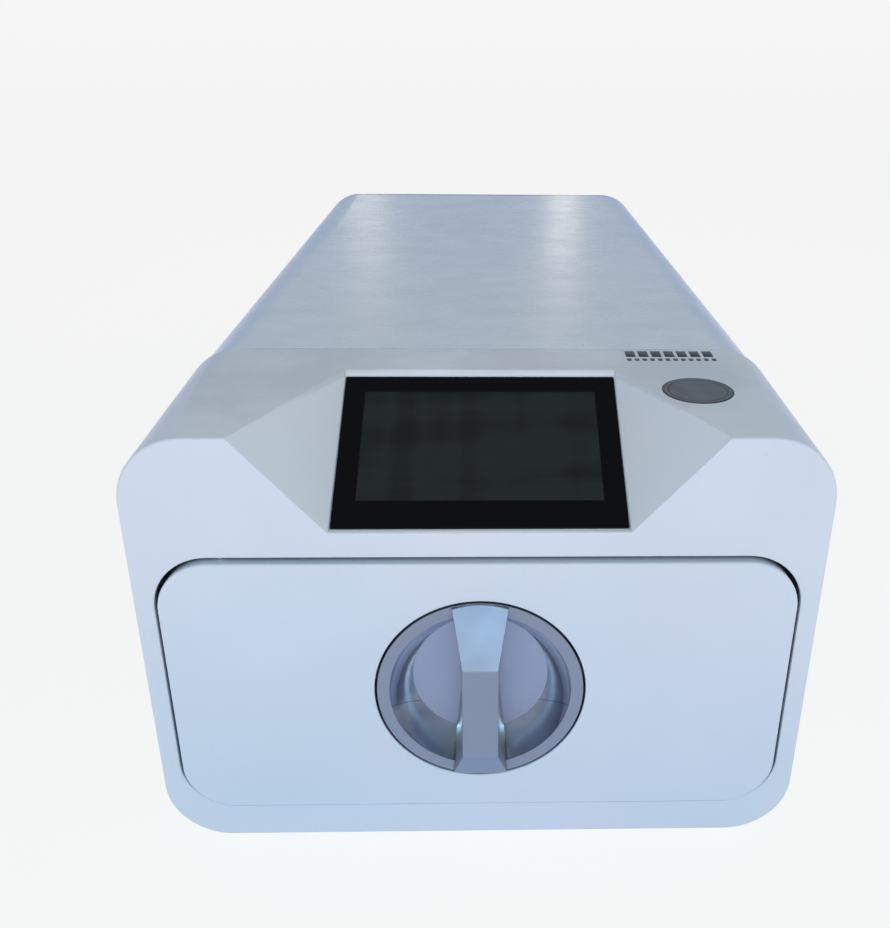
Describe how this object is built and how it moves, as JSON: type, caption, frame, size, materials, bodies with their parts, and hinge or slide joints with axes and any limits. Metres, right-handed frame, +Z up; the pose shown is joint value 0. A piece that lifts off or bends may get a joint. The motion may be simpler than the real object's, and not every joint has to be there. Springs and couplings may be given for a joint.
{
  "type": "benchtop autoclave",
  "caption": "Benchtop steam autoclave: lean-back front with a side-hinged door, rotary bowl knob, sloping touch display, round chamber with trays, and rear services.",
  "frame": {"origin": "middle of the footprint box on the surface that the feet stand on", "axes": "+X is the width, to the right seen from the front; +Y is the depth, from the front to the rear; +Z is up"},
  "size_m": [0.43, 0.858, 0.3215],
  "materials": {
    "front_moulding": "pale blue-white moulded plastic, satin",
    "door_panel": "pale blue-white moulded plastic, satin",
    "cover_paint": "pale powder-painted sheet, semi-gloss",
    "plated_sheet": "zinc-plated sheet steel",
    "screw_steel": "plated steel",
    "foot_rubber": "matt black rubber",
    "display_glass": "black-printed cover glass",
    "lcd": "dark unlit panel",
    "circuit_board": "green solder mask",
    "machined_steel": "machined steel",
    "stainless": "satin stainless steel",
    "knob_chrome": "polished bowl and satin ring",
    "knob_satin": "fine satin metal finish",
    "brass": "machined brass",
    "gasket_silicone": "white silicone",
    "filter_plastic": "white plastic",
    "solenoid_blue": "moulded coil housing",
    "heater_mica": "mica band heater in a metal sheath",
    "insulation_felt": "glass-fibre felt",
    "copper_pipe": "copper pipe",
    "pump_casting": "grey cast aluminium",
    "tank_plastic": "translucent white polyethylene",
    "fin_aluminium": "thin aluminium fins",
    "black_plastic": "black moulded plastic"
  },
  "bodies": {
    "chassis": {"front_bezel": "front_moulding", "outer_cover": "cover_paint", "base_pan": "plated_sheet", "rear_panel": "plated_sheet", "rubber_feet": "foot_rubber", "foot_screws": "screw_steel", "cover_screws": "screw_steel", "touch_glass": "display_glass", "lcd_panel": "lcd", "display_bracket": "plated_sheet", "display_board": "circuit_board", "front_bulkhead": "plated_sheet", "hinge_brackets": "machined_steel", "hinge_pins": "screw_steel", "bar_keepers": "machined_steel", "lock_solenoid": "solenoid_blue", "air_filter": "filter_plastic", "chamber_flange": "stainless", "flange_bolts": "screw_steel", "chamber_vessel": "stainless", "band_heater": "heater_mica", "insulation_jacket": "insulation_felt", "chamber_saddle": "plated_sheet", "tray_rack": "stainless", "instrument_trays": "stainless", "steam_generator": "stainless", "steam_pipe": "copper_pipe", "vacuum_pump": "pump_casting", "water_pump": "brass", "solenoid_valves": "brass", "water_tanks": "tank_plastic", "tank_shelf": "plated_sheet", "condenser": "fin_aluminium", "fan_frame": "black_plastic", "fan_grille": "screw_steel", "control_board": "circuit_board", "power_supply": "plated_sheet", "mains_inlet": "black_plastic", "power_switch": "black_plastic", "safety_valve": "brass", "drain_connectors": "stainless"},
    "door": {"door_cover": "door_panel", "door_plate": "plated_sheet", "door_hinge_blocks": "machined_steel", "shaft_bush": "brass", "bar_guides": "brass", "door_posts": "machined_steel", "pressure_disc": "stainless", "door_gasket": "gasket_silicone"},
    "knob": {"knob_bowl": "knob_chrome", "knob_floor": "knob_satin", "knob_grip": "knob_satin", "knob_shaft": "machined_steel", "cam_disc": "machined_steel"},
    "bar_left": {"locking_bar_left": "machined_steel"},
    "bar_right": {"locking_bar_right": "machined_steel"},
    "lock_pin_body": {"lock_pin": "screw_steel"},
    "fan": {"fan_rotor": "black_plastic"},
    "rocker": {"switch_rocker": "black_plastic"},
    "pull_ring": {"valve_ring": "screw_steel"}
  },
  "joints": [
    {"name": "door_hinge", "type": "hinge", "parent": "chassis", "child": "door", "pos_m": [-0.1596, -0.39554, 0.13847], "axis": [0, -0.0523, -0.9986], "range_deg": [0, 105]},
    {"name": "knob_turn", "type": "hinge", "parent": "door", "child": "knob", "pos_m": [0, -0.40053, 0.13873], "axis": [0, 0.9986, -0.0523], "range_deg": [0, 90]},
    {"name": "bar_left_slide", "type": "slide", "parent": "door", "child": "bar_left", "axis": [-1, 0, 0], "range_m": [0, 0.014]},
    {"name": "bar_right_slide", "type": "slide", "parent": "door", "child": "bar_right", "axis": [1, 0, 0], "range_m": [0, 0.014]},
    {"name": "lock_pin_slide", "type": "slide", "parent": "chassis", "child": "lock_pin_body", "axis": [0, -0.0523, -0.9986], "range_m": [0, 0.007], "stiffness_N_per_m": 150, "springref_m": -0.003},
    {"name": "fan_spin", "type": "hinge", "parent": "chassis", "child": "fan", "pos_m": [0.11, 0.37754, 0.126], "axis": [0, 1, 0], "continuous": true},
    {"name": "power_rocker", "type": "hinge", "parent": "chassis", "child": "rocker", "pos_m": [0.072, 0.38754, 0.0558], "axis": [1, 0, 0], "range_deg": [0, 16]},
    {"name": "valve_ring_pull", "type": "slide", "parent": "chassis", "child": "pull_ring", "axis": [0, 1, 0], "range_m": [0, 0.004], "stiffness_N_per_m": 400}
  ],
  "couplings": [
    {"joint": "bar_left_slide", "follows": "knob_turn", "m_per_rad": 0.0089126},
    {"joint": "bar_right_slide", "follows": "knob_turn", "m_per_rad": 0.0089126}
  ]
}
